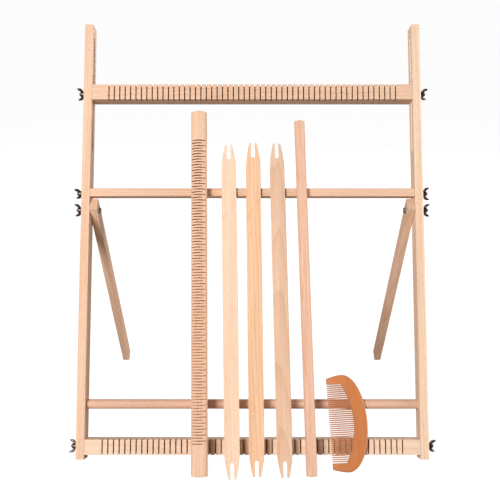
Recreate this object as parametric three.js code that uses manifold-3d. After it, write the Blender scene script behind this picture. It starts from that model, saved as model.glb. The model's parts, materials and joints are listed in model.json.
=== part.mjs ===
// A wooden frame loom on folding legs, with the heddle bar, shuttles, shed
// stick and comb that stand against it. Millimetres, +Z up, front towards -Y.
import * as THREE from 'three';
import { mergeVertices } from 'three/addons/utils/BufferGeometryUtils.js';
import Module from 'manifold-3d';

const wasm = await Module();
wasm.setup();

// ---------------------------------------------------------------------------
// Driving dimensions
// ---------------------------------------------------------------------------
const degree = Math.PI / 180;

// Clearances
const touchGap = 0.3;        // between pieces that touch
const boltClearance = 0.3;   // all round a bolt in its hole
const slotClearance = 0.5;   // each side of the bolt that slides in an upright
const swingClearance = 1.3;  // between a leg's swinging top end and the crossbar

// The frame as a whole
const frameWidth = 500;      // outside face to outside face
const lean = 23.25 * degree; // the uprights lean back from vertical

// Uprights, with the slot that the top beam is set in
const uprightLength = 636;
const uprightThickness = 12.5;
const uprightDepth = 27;
const uprightRound = 3;      // radius on the two outer long edges
const slotBottom = 445;      // above the upright's lower end
const slotTopMargin = 16.2;  // below the upright's upper end

// Notched beams
const topBeamSize = 22.6;       // along the uprights
const bottomBeamSize = 21.2;
const bottomBeamHeight = 17.2;  // middle of the beam above the upright's end
const notchPitch = 8;
const notchWidth = 1.7;
const notchDepth = 10;
const beamPlainEnd = 25;        // least plain length at each end

// Crossbar and rod
const crossbarTop = 387.8;      // top edge above the upright's lower end
const crossbarHeight = 12;
const crossbarDepth = 18;
const rodDiameter = 13.6;
const rodHeight = 76.2;
const rodSocket = 6;            // depth of the rod's seat in an upright

// Legs
const legThickness = 11.5;
const legWidth = 20;
const legTopEnd = 14;           // from the pivot to the leg's upper end
const legSplay = 31.5 * degree; // legs stand away from vertical

// Bolts, washers and wing nuts
const boltDiameter = 5;
const boltEndShow = 2;          // bolt end beyond its wing nut
const studPlainEnd = 4;         // beam left between a stud and the first notch
const crossbarStud = 21;        // stud length inside the crossbar
const headDiameter = 9.5;
const headHeight = 2.8;
const socketAcross = 3;         // hexagon socket in a leg bolt's head
const socketDepth = 1.6;
const washerDiameter = 11;
const washerThickness = 1;
const nutBaseDiameter = 9;
const nutTopDiameter = 7.6;
const nutHeight = 5;
const wingSpan = 21;
const wingReach = 9.5;          // wing tips above the nut's base
const wingThickness = 2;

// Pieces that stand against the loom. footOut is how far the foot stands in
// front of the uprights, across is the distance right of the loom's middle,
// and sway turns the piece's top to the left.
const heddleBar = { length: 516, diameter: 22.8, footOut: 21.3, across: -72.7, sway: 0.57 * degree };
const heddlePlainEnd = 43;
const heddleNotchPitch = 4;     // between one set's notch and the other's
const heddleNotchWidth = 1.6;
const heddleNotchDepth = 6.5;
const heddleNotchTurns = [-28 * degree, 4 * degree]; // how far each set is turned from the front
const shuttleLength = 475;
const shuttleWidth = 21.4;
const shuttleThickness = 4.5;
const shuttleTipWidth = 11.6;
const shuttleShoulderWidth = 17.6; // a third of the way along the tapered end
const shuttleTaper = 36;        // length of the tapered end
const forkDepth = 22;
const forkWidth = 6;
const shuttles = [
  { name: 'shuttle_left', footOut: 31.5, across: -27.5, sway: 0.9 * degree },
  { name: 'shuttle_middle', footOut: 25.5, across: 6.3, sway: 0.65 * degree },
  { name: 'shuttle_right', footOut: 27.5, across: 45.4, sway: 1.2 * degree },
];
const shedStick = { length: 505, diameter: 15, footOut: 22.3, across: 81.8, sway: 1.45 * degree };
const combPlace = { across: 112.6, sway: 3.05 * degree };
const combStandOff = 4;         // foot in front of where the comb would touch beam and rod
const combLength = 135;
const combThickness = 6;
const combEndLength = 125.6;    // length along the line of the tooth tips
const combBackAcross = 22;      // from the tooth tips to where the curved back starts
const combWidth = 53.8;
const combGuard = 7.7;          // thickness of the end teeth at their tips
const combToothCount = 38;
const combToothWidth = 1.3;
const combRootAcross = 34.8;    // longest tooth, at the comb's middle
const combRootRise = 14.3;      // how much shorter the first and last teeth are

// ---------------------------------------------------------------------------
// Materials
// ---------------------------------------------------------------------------
const wood = (name, color) =>
  new THREE.MeshStandardMaterial({ name, color, roughness: 0.6, metalness: 0 });
const beech = wood('beech', 0xe3b98f);
const beechLight = wood('beech_light', 0xecc9a2);
const beechPink = wood('beech_pink', 0xd9a888);
const combWood = new THREE.MeshStandardMaterial(
  { name: 'comb_wood', color: 0xc87c3c, roughness: 0.35, metalness: 0 });
const steel = new THREE.MeshStandardMaterial(
  { name: 'steel', color: 0x9a9894, roughness: 0.35, metalness: 1 });

// ---------------------------------------------------------------------------
// Solids
// ---------------------------------------------------------------------------
// A closed geometry becomes a solid that can be cut and joined.
function solid(geometry) {
  const bare = geometry.clone();
  bare.deleteAttribute('normal');
  bare.deleteAttribute('uv');
  const merged = mergeVertices(bare, 1e-4);
  return new wasm.Manifold(new wasm.Mesh({
    numProp: 3,
    vertProperties: new Float32Array(merged.attributes.position.array),
    triVerts: new Uint32Array(merged.index.array),
  }));
}

function meshOf(name, body, material) {
  const { vertProperties, triVerts } = body.getMesh();
  const geometry = new THREE.BufferGeometry();
  geometry.setAttribute('position', new THREE.BufferAttribute(vertProperties, 3));
  geometry.setIndex(new THREE.BufferAttribute(triVerts, 1));
  geometry.computeVertexNormals();
  const mesh = new THREE.Mesh(geometry, material);
  mesh.name = name;
  return mesh;
}

// Box between two corners.
function block([x0, y0, z0], [x1, y1, z1]) {
  const geometry = new THREE.BoxGeometry(x1 - x0, y1 - y0, z1 - z0);
  geometry.translate((x0 + x1) / 2, (y0 + y1) / 2, (z0 + z1) / 2);
  return solid(geometry);
}

// Cylinder or cone along X from x0 to x1, centred at y and z.
function barAlongX(x0, x1, y, z, radius, sides = 16, endRadius = radius) {
  const geometry = new THREE.CylinderGeometry(endRadius, radius, Math.abs(x1 - x0), sides);
  geometry.rotateZ(x1 > x0 ? -Math.PI / 2 : Math.PI / 2);
  geometry.translate((x0 + x1) / 2, y, z);
  return solid(geometry);
}

// Extrusion of an XY outline along Z from zero.
function extruded(shape, height, curveSegments = 6) {
  const options = { depth: height, bevelEnabled: false, curveSegments };
  return solid(new THREE.ExtrudeGeometry(shape, options));
}

function outlineOf(points) {
  return new THREE.Shape(points.map(([x, y]) => new THREE.Vector2(x, y)));
}

// ---------------------------------------------------------------------------
// The loom's frame. Its own axes are x across, y from the front face back and
// z along the uprights from their lower ends.
// ---------------------------------------------------------------------------
const halfInside = frameWidth / 2 - uprightThickness;
const midDepth = uprightDepth / 2;
const slotTop = uprightLength - slotTopMargin;
const topBeamHeight = (slotBottom + slotTop) / 2;
const crossbarMiddle = crossbarTop - crossbarHeight / 2;
const pivotHeight = crossbarTop - crossbarHeight
  - Math.hypot(legTopEnd, legWidth / 2) - swingClearance;
const boltHole = boltDiameter / 2 + boltClearance;
const slotHalfWidth = boltDiameter / 2 + slotClearance;

// Upright on the side given by +1 (right) or -1 (left).
function upright(side) {
  const inner = side * halfInside;
  const outer = side * frameWidth / 2;
  const round = uprightRound;
  const section = new THREE.Shape();
  section.moveTo(0, 0);
  section.lineTo(uprightThickness - round, 0);
  section.absarc(uprightThickness - round, round, round, -Math.PI / 2, 0, false);
  section.lineTo(uprightThickness, uprightDepth - round);
  section.absarc(uprightThickness - round, uprightDepth - round, round, 0, Math.PI / 2, false);
  section.lineTo(0, uprightDepth);
  let body = extruded(section, uprightLength, 3);
  if (side < 0) body = body.mirror([1, 0, 0]);
  body = body.translate([inner, 0, 0]);

  const from = inner - side;
  const to = outer + side;
  const cuts = [bottomBeamHeight, pivotHeight, crossbarMiddle]
    .map((height) => barAlongX(from, to, midDepth, height, boltHole));
  const slotEnds = [slotBottom + slotHalfWidth, slotTop - slotHalfWidth];
  cuts.push(...slotEnds.map((height) => barAlongX(from, to, midDepth, height, slotHalfWidth)));
  cuts.push(block(
    [Math.min(from, to), midDepth - slotHalfWidth, slotEnds[0]],
    [Math.max(from, to), midDepth + slotHalfWidth, slotEnds[1]],
  ));
  const seat = inner + side * (rodSocket + touchGap);
  cuts.push(barAlongX(from, seat, midDepth, rodHeight, rodDiameter / 2 + touchGap));
  return cuts.reduce((left, cut) => left.subtract(cut), body);
}

// Stud holes in both ends of a piece that runs between the uprights.
function drilledEnds(body, length, y, height) {
  return [-1, 1].reduce((left, side) => left.subtract(barAlongX(
    side * (halfInside + 1), side * (halfInside - length - touchGap), y, height, boltHole)), body);
}

const notchCount = Math.floor(2 * (halfInside - beamPlainEnd) / notchPitch) + 1;
const notchSpan = (notchCount - 1) * notchPitch;
const beamStud = halfInside - notchSpan / 2 - studPlainEnd;

function notchedBeam(height, size) {
  const half = halfInside - touchGap;
  const points = [[-half, 0]];
  for (let i = 0; i < notchCount; i++) {
    const x = -notchSpan / 2 + i * notchPitch;
    points.push([x - notchWidth / 2, 0], [x - notchWidth / 2, notchDepth]);
    points.push([x + notchWidth / 2, notchDepth], [x + notchWidth / 2, 0]);
  }
  points.push([half, 0], [half, uprightDepth], [-half, uprightDepth]);
  const beam = extruded(outlineOf(points), size).translate([0, 0, height - size / 2]);
  return drilledEnds(beam, beamStud, midDepth, height);
}

function crossbar() {
  const half = halfInside - touchGap;
  const bar = block([-half, 0, crossbarTop - crossbarHeight], [half, crossbarDepth, crossbarTop]);
  return drilledEnds(bar, crossbarStud, midDepth, crossbarMiddle);
}

function rod() {
  const half = halfInside + rodSocket;
  return barAlongX(-half, half, midDepth, rodHeight, rodDiameter / 2, 28);
}

// Fixings. Each is made on the right-hand side, standing out along +X from
// the face it sits on, and mirrored for the left.
const washerFace = frameWidth / 2 + touchGap;
const nutFace = washerFace + washerThickness + touchGap;
const boltEnd = nutFace + nutHeight + boltEndShow;
const legInnerFace = halfInside - touchGap - legThickness;

function stud(length) {
  return barAlongX(halfInside - length, boltEnd, 0, 0, boltDiameter / 2, 12);
}

function legBolt() {
  const underHead = legInnerFace - touchGap;
  const headTop = underHead - headHeight;
  const shank = barAlongX(underHead - 0.5, boltEnd, 0, 0, boltDiameter / 2, 12);
  const head = barAlongX(underHead, headTop, 0, 0, headDiameter / 2, 16, headDiameter / 3);
  const socket = barAlongX(headTop - 1, headTop + socketDepth, 0, 0, socketAcross / Math.sqrt(3), 6);
  return head.add(shank).subtract(socket);
}

function washer() {
  const disc = barAlongX(washerFace, washerFace + washerThickness, 0, 0, washerDiameter / 2, 20);
  return disc.subtract(barAlongX(washerFace - 1, nutFace, 0, 0, boltHole, 12));
}

function wingNut() {
  const top = nutFace + nutHeight;
  const boss = barAlongX(nutFace, top, 0, 0, nutBaseDiameter / 2, 16, nutTopDiameter / 2);
  const tip = 2.6;                         // radius of a wing's rounded tip
  const tipOut = wingSpan / 2 - tip;
  const tipUp = wingReach - tip;
  const wing = new THREE.Shape();
  wing.moveTo(boltHole + 0.5, 0.4);
  wing.lineTo(nutBaseDiameter / 2 + 0.6, 0.4);
  wing.lineTo(tipOut + tip * Math.SQRT1_2, tipUp - tip * Math.SQRT1_2);
  wing.absarc(tipOut, tipUp, tip, -Math.PI / 4, Math.PI * 0.75, false);
  wing.lineTo(boltHole + 0.5, nutHeight - 0.6);
  // Two cyclic turns take the outline's x to +Z and its y to +X.
  const plate = extruded(wing, wingThickness, 3)
    .translate([0, 0, -wingThickness / 2])
    .rotate([90, 0, 90])
    .rotate([90, 0, 90])
    .translate([nutFace, 0, 0]);
  const opposite = plate.rotate([180, 0, 0]);
  const bore = barAlongX(nutFace - 1, top + 1, 0, 0, boltHole, 12);
  return boss.add(plate).add(opposite).subtract(bore);
}

// ---------------------------------------------------------------------------
// Pieces that stand against the loom, each upright at first with its foot at
// the origin, its back towards +Y and its length along +Z.
// ---------------------------------------------------------------------------
function heddle({ length, diameter }) {
  const radius = diameter / 2;
  const geometry = new THREE.CylinderGeometry(radius, radius, length, 16);
  geometry.rotateX(Math.PI / 2);
  geometry.translate(0, 0, length / 2);
  let bar = solid(geometry);
  const count = Math.floor((length - 2 * heddlePlainEnd) / heddleNotchPitch) + 1;
  const first = (length - (count - 1) * heddleNotchPitch) / 2;
  for (let i = 0; i < count; i++) {
    const height = first + i * heddleNotchPitch;
    const turn = heddleNotchTurns[i % 2] / degree;
    const notch = block(
      [-radius, -radius - 1, -heddleNotchWidth / 2],
      [radius, heddleNotchDepth - radius, heddleNotchWidth / 2],
    );
    bar = bar.subtract(notch.rotate([0, 0, turn]).translate([0, 0, height]));
  }
  return bar;
}

function stickShuttle() {
  const shape = new THREE.Shape();
  const half = shuttleWidth / 2;
  const tip = shuttleTipWidth / 2;
  const shoulder = shuttleShoulderWidth / 2;
  const shoulderAt = shuttleTaper / 3;
  const slit = forkWidth / 2;
  shape.moveTo(-tip, 0);
  shape.lineTo(-slit, 0);
  shape.lineTo(-slit, forkDepth - slit);
  shape.absarc(0, forkDepth - slit, slit, Math.PI, 0, true);
  shape.lineTo(slit, 0);
  shape.lineTo(tip, 0);
  shape.lineTo(shoulder, shoulderAt);
  shape.lineTo(half, shuttleTaper);
  shape.lineTo(half, shuttleLength - shuttleTaper);
  shape.lineTo(shoulder, shuttleLength - shoulderAt);
  shape.lineTo(tip, shuttleLength);
  shape.lineTo(slit, shuttleLength);
  shape.lineTo(slit, shuttleLength - forkDepth + slit);
  shape.absarc(0, shuttleLength - forkDepth + slit, slit, 0, -Math.PI, true);
  shape.lineTo(-slit, shuttleLength);
  shape.lineTo(-tip, shuttleLength);
  shape.lineTo(-shoulder, shuttleLength - shoulderAt);
  shape.lineTo(-half, shuttleLength - shuttleTaper);
  shape.lineTo(-half, shuttleTaper);
  shape.lineTo(-shoulder, shoulderAt);
  return extruded(shape, shuttleThickness, 5)
    .translate([0, 0, -shuttleThickness / 2])
    .rotate([90, 0, 0]);
}

function stick({ length, diameter }) {
  const geometry = new THREE.CylinderGeometry(diameter / 2, diameter / 2, length, 28);
  geometry.rotateX(Math.PI / 2);
  geometry.translate(0, 0, length / 2);
  return solid(geometry);
}

// The comb's teeth point to the left. Its tooth tips stand on x = 0 and its
// lower guard's outer corner is at the foot.
function combBody() {
  const middle = combLength / 2;
  const end = combEndLength / 2;
  const guard = end - combGuard;
  const shape = new THREE.Shape();
  shape.moveTo(0, middle - end);
  shape.quadraticCurveTo(combBackAcross / 2, 0.6, combBackAcross, 0);
  shape.absellipse(combBackAcross, middle, combWidth - combBackAcross, middle,
    -Math.PI / 2, Math.PI / 2, false, 0);
  shape.quadraticCurveTo(combBackAcross / 2, combLength - 0.6, 0, middle + end);
  const rootRadius = (guard ** 2 + combRootRise ** 2) / (2 * combRootRise);
  const rootAt = (offset) =>
    combRootAcross - rootRadius + Math.sqrt(rootRadius ** 2 - offset ** 2);
  const pitch = 2 * guard / (combToothCount + 1);
  shape.lineTo(0, middle + guard);
  shape.lineTo(rootAt(guard), middle + guard);
  for (let i = combToothCount; i >= 1; i--) {
    const offset = -guard + i * pitch;
    const upper = offset + combToothWidth / 2;
    const lower = offset - combToothWidth / 2;
    shape.lineTo(rootAt(upper), middle + upper);
    shape.lineTo(0, middle + upper);
    shape.lineTo(0, middle + lower);
    shape.lineTo(rootAt(lower), middle + lower);
  }
  shape.lineTo(rootAt(guard), middle - guard);
  shape.lineTo(0, middle - guard);
  return extruded(shape, combThickness, 10)
    .translate([0, 0, -combThickness / 2])
    .rotate([90, 0, 0]);
}

// ---------------------------------------------------------------------------
// Assembly
// ---------------------------------------------------------------------------
const loom = new THREE.Group();

// The frame group leans back and stands on its rear lower edge.
const frame = new THREE.Group();
frame.rotation.x = -lean;
frame.position.z = uprightDepth * Math.sin(lean);
loom.add(frame);

frame.add(meshOf('left_upright', upright(-1), beech));
frame.add(meshOf('right_upright', upright(1), beech));
frame.add(meshOf('top_beam', notchedBeam(topBeamHeight, topBeamSize), beechLight));
frame.add(meshOf('bottom_beam', notchedBeam(bottomBeamHeight, bottomBeamSize), beechLight));
frame.add(meshOf('mid_crossbar', crossbar(), beech));
frame.add(meshOf('lower_rod', rod(), beechPink));

// Every fixing point, with the turn that its two wing nuts were left at.
const fixings = [
  { name: 'top_beam', height: topBeamHeight, bolt: () => stud(beamStud), turns: [38, 50] },
  { name: 'crossbar', height: crossbarMiddle, bolt: () => stud(crossbarStud), turns: [57, 10] },
  { name: 'leg', height: pivotHeight, bolt: legBolt, turns: [27, 15] },
  { name: 'bottom_beam', height: bottomBeamHeight, bolt: () => stud(beamStud), turns: [-10, 27] },
];
for (const { name, height, bolt, turns } of fixings) {
  [-1, 1].forEach((side, index) => {
    const sideName = side < 0 ? 'left' : 'right';
    const place = (body, turn = 0) => {
      const turned = body.rotate([turn, 0, 0]);
      const sided = side < 0 ? turned.mirror([1, 0, 0]) : turned;
      return sided.translate([0, midDepth, height]);
    };
    frame.add(meshOf(`${name}_bolt_${sideName}`, place(bolt()), steel));
    frame.add(meshOf(`${name}_washer_${sideName}`, place(washer()), steel));
    frame.add(meshOf(`${name}_wing_nut_${sideName}`, place(wingNut(), turns[index]), steel));
  });
}

// Place above the table of a point given by its depth and height in the
// frame's own axes.
function onTable(depth, height) {
  return {
    y: depth * Math.cos(lean) + height * Math.sin(lean),
    z: height * Math.cos(lean) + (uprightDepth - depth) * Math.sin(lean),
  };
}

// Legs turn about their bolts and reach down to the table.
const pivot = onTable(midDepth, pivotHeight);
const legReach = (pivot.z - legWidth / 2 * Math.sin(legSplay)) / Math.cos(legSplay);
for (const side of [-1, 1]) {
  const outer = halfInside - touchGap;
  const plank = block([outer - legThickness, -legWidth / 2, -legReach],
    [outer, legWidth / 2, legTopEnd]);
  const bored = plank.subtract(barAlongX(outer - legThickness - 1, outer + 1, 0, 0, boltHole));
  const leg = meshOf(side < 0 ? 'left_leg' : 'right_leg',
    side < 0 ? bored.mirror([1, 0, 0]) : bored, beech);
  leg.rotation.x = legSplay;
  leg.position.set(0, pivot.y, pivot.z);
  loom.add(leg);
}

// A foot on the table, in the frame's own axes.
function footInFrame(footOut) {
  return {
    depth: uprightDepth * Math.sin(lean) ** 2 - footOut * Math.cos(lean),
    height: -(uprightDepth * Math.cos(lean) + footOut) * Math.sin(lean),
  };
}

// What a piece can lean on: front faces, from their lower edge to their upper
// one, and the rod.
const frontFaces = [[topBeamHeight, topBeamSize], [bottomBeamHeight, bottomBeamSize]]
  .map(([height, size]) => [height - size / 2, height + size / 2]);
frontFaces.push([crossbarTop - crossbarHeight, crossbarTop]);

// A piece tips back about its rear foot until it meets the first of them that
// it is long enough to reach.
function tipAngle(footOut, length) {
  const foot = footInFrame(footOut);
  const reach = foot.height + Math.sqrt(length ** 2 - foot.depth ** 2);
  const angleTo = (depth, height, radius) => {
    const distance = Math.hypot(depth - foot.depth, height - foot.height);
    return Math.atan2(depth - foot.depth, height - foot.height)
      - Math.asin((radius + touchGap) / distance);
  };
  const angles = frontFaces
    .filter(([lower]) => lower < reach)
    .map(([, upper]) => angleTo(0, Math.min(upper, reach), 0));
  angles.push(angleTo(midDepth, rodHeight, rodDiameter / 2));
  return lean + Math.min(...angles);
}

// A comb whose back face is on the line through the bottom beam's upper edge
// that touches the rod would lean on both at once. This one stands a little
// further out, so it leans on the rod.
const beamEdge = bottomBeamHeight + bottomBeamSize / 2;
const combTip = lean + Math.atan2(midDepth, rodHeight - beamEdge)
  - Math.asin(rodDiameter / 2 / Math.hypot(midDepth, rodHeight - beamEdge));
const edgePlace = onTable(0, beamEdge);
const combFootOut = edgePlace.z * Math.tan(combTip) - edgePlace.y + touchGap / Math.cos(combTip)
  + combStandOff;

// The piece stands on its foot, tipped back and turned, and is slid along its
// own lean until it just meets the table.
function standAgainst(name, body, material, place, thickness, tip) {
  const piece = meshOf(name, body, material);
  piece.position.y = -thickness / 2;
  piece.rotation.y = -place.sway;
  const stand = new THREE.Group();
  stand.rotation.x = -tip;
  stand.position.set(place.across, -place.footOut, 0);
  stand.add(piece);
  const lowest = new THREE.Box3().setFromObject(stand, true).min.z;
  piece.position.z = -lowest / Math.cos(tip);
  loom.add(stand);
}

standAgainst('heddle_bar', heddle(heddleBar), beech, heddleBar,
  heddleBar.diameter, tipAngle(heddleBar.footOut, heddleBar.length));
for (const place of shuttles) {
  standAgainst(place.name, stickShuttle(), beechLight, place,
    shuttleThickness, tipAngle(place.footOut, shuttleLength));
}
standAgainst('shed_stick', stick(shedStick), beechPink, shedStick,
  shedStick.diameter, tipAngle(shedStick.footOut, shedStick.length));
standAgainst('comb', combBody(), combWood, { ...combPlace, footOut: combFootOut },
  combThickness, tipAngle(combFootOut, combLength));

// The origin is on the table, under the middle of the whole set.
loom.updateMatrixWorld(true);
const bounds = new THREE.Box3().setFromObject(loom, true);
const middle = bounds.getCenter(new THREE.Vector3());
loom.position.set(-middle.x, -middle.y, -bounds.min.z);

export default loom;
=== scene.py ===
import json
import math
from contextlib import contextmanager

import bmesh
import bpy
import numpy as np
from bpy.props import FloatProperty, FloatVectorProperty, IntProperty, PointerProperty
from bpy.types import Operator, Panel, PropertyGroup
from mathutils import Matrix, Vector

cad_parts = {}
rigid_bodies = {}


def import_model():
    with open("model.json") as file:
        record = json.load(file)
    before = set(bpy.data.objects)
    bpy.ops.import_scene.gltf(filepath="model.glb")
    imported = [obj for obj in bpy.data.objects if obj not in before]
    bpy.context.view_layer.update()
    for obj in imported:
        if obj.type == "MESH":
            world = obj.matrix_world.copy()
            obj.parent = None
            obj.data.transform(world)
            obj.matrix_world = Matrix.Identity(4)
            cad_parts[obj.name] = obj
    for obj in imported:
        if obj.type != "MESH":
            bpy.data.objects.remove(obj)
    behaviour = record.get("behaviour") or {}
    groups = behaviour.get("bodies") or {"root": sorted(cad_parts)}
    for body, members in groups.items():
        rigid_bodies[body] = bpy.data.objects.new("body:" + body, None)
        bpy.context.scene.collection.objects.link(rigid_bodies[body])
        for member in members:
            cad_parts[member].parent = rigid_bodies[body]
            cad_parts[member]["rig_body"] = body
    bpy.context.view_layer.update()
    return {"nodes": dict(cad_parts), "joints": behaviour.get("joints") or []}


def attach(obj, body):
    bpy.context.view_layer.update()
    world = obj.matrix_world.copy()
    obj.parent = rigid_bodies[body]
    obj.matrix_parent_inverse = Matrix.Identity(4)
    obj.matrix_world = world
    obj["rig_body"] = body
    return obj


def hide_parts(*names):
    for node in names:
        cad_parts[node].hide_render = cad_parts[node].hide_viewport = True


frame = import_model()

bl_info = {
    "name": "Table Loom",
    "version": (1, 0, 0),
    "blender": (4, 5, 0),
    "location": "View3D > Sidebar > Loom",
    "description": "Builds a leaning frame loom with its heddle bar, shuttles and comb",
    "category": "Add Mesh",
}

MM = 0.001
SIDES = ("left", "right")


# ---- Sizes and colours that a user may change ----
def length(name, description, millimetres):
    """A length property, given here in millimetres."""
    return FloatProperty(name=name, description=description, default=millimetres * MM,
                         min=0.0, precision=4, unit="LENGTH")


def angle(name, description, degrees):
    """An angle property, given here in degrees."""
    return FloatProperty(name=name, description=description, default=math.radians(degrees),
                         subtype="ANGLE")


def number(name, description, value):
    """A property without a unit."""
    return FloatProperty(name=name, description=description, default=value, precision=4)


def colour(name, description, value):
    """A colour property in linear light."""
    return FloatVectorProperty(name=name, description=description, default=value,
                               size=3, min=0.0, max=1.0, subtype="COLOR")


class LoomFrameSizes(PropertyGroup):
    """Details of the leaning frame that its outer sizes do not give."""

    upright_round: length("Upright rounding", "Radius on an upright's outer long edges", 3)
    slot_width: length("Slot width", "Width of the slot that the top beam's bolt slides in", 6)
    slot_bottom: length("Slot start", "From an upright's lower end to its slot", 445)
    slot_top: length("Slot end", "From an upright's upper end to its slot", 16.2)
    bolt_hole: length("Bolt hole", "Diameter of the holes that the bolts pass through", 5.6)
    rod_seat: length("Rod seat", "Depth of the hole that an end of the rod sits in", 6.3)
    fit: length("Fit", "Clearance round a piece that sits in a hole", 0.3)
    notch_pitch: length("Notch pitch", "Distance from one warp notch to the next", 8)
    notch_width: length("Notch width", "Width of a warp notch", 1.7)
    notch_depth: length("Notch depth", "Depth of a warp notch from the beam's front", 10)
    plain_end: length("Plain end", "Least length of a beam without notches at each end", 25)
    bar_round: length("Crossbar rounding", "Radius on the crossbar's long edges", 1.4)
    leg_round: length("Leg rounding", "Radius on a leg's long edges", 1.1)
    arris: length("Arris", "Width of the softened edge on sawn wood", 0.35)


class LoomFixingSizes(PropertyGroup):
    """Bolts, washers and wing nuts."""

    thread_pitch: length("Thread pitch", "Distance from one turn of the thread to the next", 0.8)
    thread_depth: length("Thread depth", "Height of the thread over its root", 0.45)
    threaded: length("Threaded stretch", "Length of thread at a bolt's outer end", 22)
    head_height: length("Head height", "Height of a leg bolt's domed head", 2.8)
    socket_across: length("Socket", "Width of the hexagon in a leg bolt's head", 3)
    socket_depth: length("Socket depth", "Depth of the hexagon in a leg bolt's head", 1.6)
    boss_base: length("Boss base", "Diameter of a wing nut where it meets the washer", 9)
    boss_top: length("Boss top", "Diameter of a wing nut at its outer end", 7.6)
    boss_height: length("Boss height", "Height of a wing nut without its wings", 5)
    wing_thickness: length("Wing thickness", "Thickness of a wing near its tip", 4.4)


class LoomToolSizes(PropertyGroup):
    """The heddle bar, shuttles, shed stick and comb that stand against the loom."""

    heddle_plain: length("Heddle bar end", "Length without notches at each of its ends", 43)
    heddle_pitch: length("Heddle pitch", "Distance between a notch of one set and of the other", 4)
    heddle_width: length("Heddle notch width", "Width of a notch in the heddle bar", 1.8)
    heddle_depth: length("Heddle notch depth", "Depth of a notch in the heddle bar", 6.5)
    heddle_first: angle("First notch set", "How far the first set is turned to the left", 28)
    heddle_second: angle("Second notch set", "How far the other set is turned to the right", 4)
    heddle_round: length("Heddle bar rounding", "Radius on the rims of the heddle bar", 0.6)
    shed_round: length("Shed stick rounding", "Radius on the rims of the shed stick", 0.8)
    shuttle_tip: length("Shuttle tip", "Width of a shuttle across the tips of its fork", 10.6)
    shuttle_taper: length("Shuttle taper", "Length over which a shuttle narrows to its tips", 36)
    fork_width: length("Fork width", "Width of the slit in a shuttle's end", 5.4)
    fork_depth: length("Fork depth", "Depth of the slit in a shuttle's end", 22)
    comb_back: length("Comb back", "From the tooth tips to where the curved back starts", 22)
    comb_end: length("Comb end", "Length of the comb along its tooth tips", 125.6)
    comb_guard: length("Comb guard", "Thickness of the comb's two end teeth", 7.7)
    comb_root: length("Tooth length", "Length of the longest tooth", 34.8)
    comb_rise: length("Tooth rise", "How much shorter the first and last teeth are", 14.3)
    comb_tooth: length("Tooth width", "Width of a tooth", 1.5)
    comb_tip: length("Tip thickness", "Thickness of the comb at its tooth tips", 2.6)
    comb_flare: length("Tooth point", "Length over which a tooth narrows to its tip", 4)
    comb_teeth: IntProperty(name="Teeth", description="Number of teeth between the guards",
                            default=38, min=1)


class LoomFinishes(PropertyGroup):
    """Colours of the woods and the metal."""

    beech: colour("Beech", "Wood of the left upright, top beam, crossbar, legs and heddle bar",
                  (0.80, 0.545, 0.385))
    beech_dark: colour("Beech, late wood", "Darker lines in the beech", (0.63, 0.34, 0.19))
    light: colour("Light beech", "Palest wood, in the right upright and the bottom beam",
                  (0.87, 0.64, 0.47))
    light_dark: colour("Light beech, late wood", "Darker lines in the palest wood",
                       (0.72, 0.44, 0.27))
    honey: colour("Honey beech", "Warmer wood in a shuttle", (0.87, 0.57, 0.36))
    honey_dark: colour("Honey beech, late wood", "Darker lines in the warmer wood",
                       (0.68, 0.34, 0.17))
    pink: colour("Pink beech", "Turned wood of the rod and the shed stick", (0.79, 0.50, 0.36))
    pink_dark: colour("Pink beech, late wood", "Darker lines in the pink beech",
                      (0.62, 0.32, 0.20))
    fleck: colour("Flecks", "Short dark flecks in all the beech", (0.36, 0.17, 0.09))
    # Painted shade: the deeper colour the wood is given in notches and saw cuts, where shade
    # falls.
    painted_recess_shade: colour("Recess shade", "Wood in notches and saw cuts", (0.55, 0.235, 0.105))
    comb: colour("Comb wood", "Lacquered wood of the comb", (0.60, 0.195, 0.044))
    comb_dark: colour("Comb wood, late wood", "Darker lines in the comb", (0.40, 0.10, 0.016))
    zinc: colour("Zinc", "Plating on the bolts and washers", (0.42, 0.41, 0.39))
    # A darker copy of the zinc for the wing nuts: painted shade that stands in for the dark
    # surroundings they reflect.
    dark_zinc: colour("Dark zinc", "Dulled plating on the wing nuts", (0.30, 0.23, 0.19))


class LoomStudio(PropertyGroup):
    """Camera and lights."""

    eye: FloatVectorProperty(
        name="Camera", description="Place of the camera in the loom's frame",
        default=(-0.00335, -1.10482, 0.61414), subtype="TRANSLATION", unit="LENGTH")
    pitch: angle("Pitch", "How far the camera looks down", 17.389)
    lens: number("Lens", "Focal length in millimetres", 55.27)
    shift: number("Shift", "Upward shift of the picture", 0.0024)
    paper: colour("Paper", "Floor as it throws light back at the loom", (0.34, 0.33, 0.32))
    faint: colour("Floor shadows", "How much the visible floor takes light and shadow",
                  (0.15, 0.15, 0.15))
    floor_glow: number("Floor glow", "Brightness of the visible floor before the lamps", 0.965)
    air: colour("Air", "Tint of the dim light from all round", (1.0, 0.94, 0.88))
    air_light: number("Air light", "Strength of the dim light from all round", 0.06)
    backdrop: number("Backdrop", "Brightness of the visible surroundings", 0.975)


# ---- Places from the frame ----
def turned_along(axis):
    """Rotation with its Z along axis and its Y as level as can be, pointing back."""
    back = Vector((0, axis.z, -axis.y)).normalized()
    return Matrix((back.cross(axis), back, axis)).transposed()


def uprights_direction():
    """Unit vector up the uprights, which the top beam slides along."""
    slide = next(joint for joint in frame["joints"] if joint["name"] == "top_beam_height")
    return Vector(slide["axis"]).normalized()


LEANING = turned_along(uprights_direction())


def points_of(node):
    """The vertices of a CAD node as rows."""
    return np.array([vertex.co for vertex in frame["nodes"][node].data.vertices])


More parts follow.
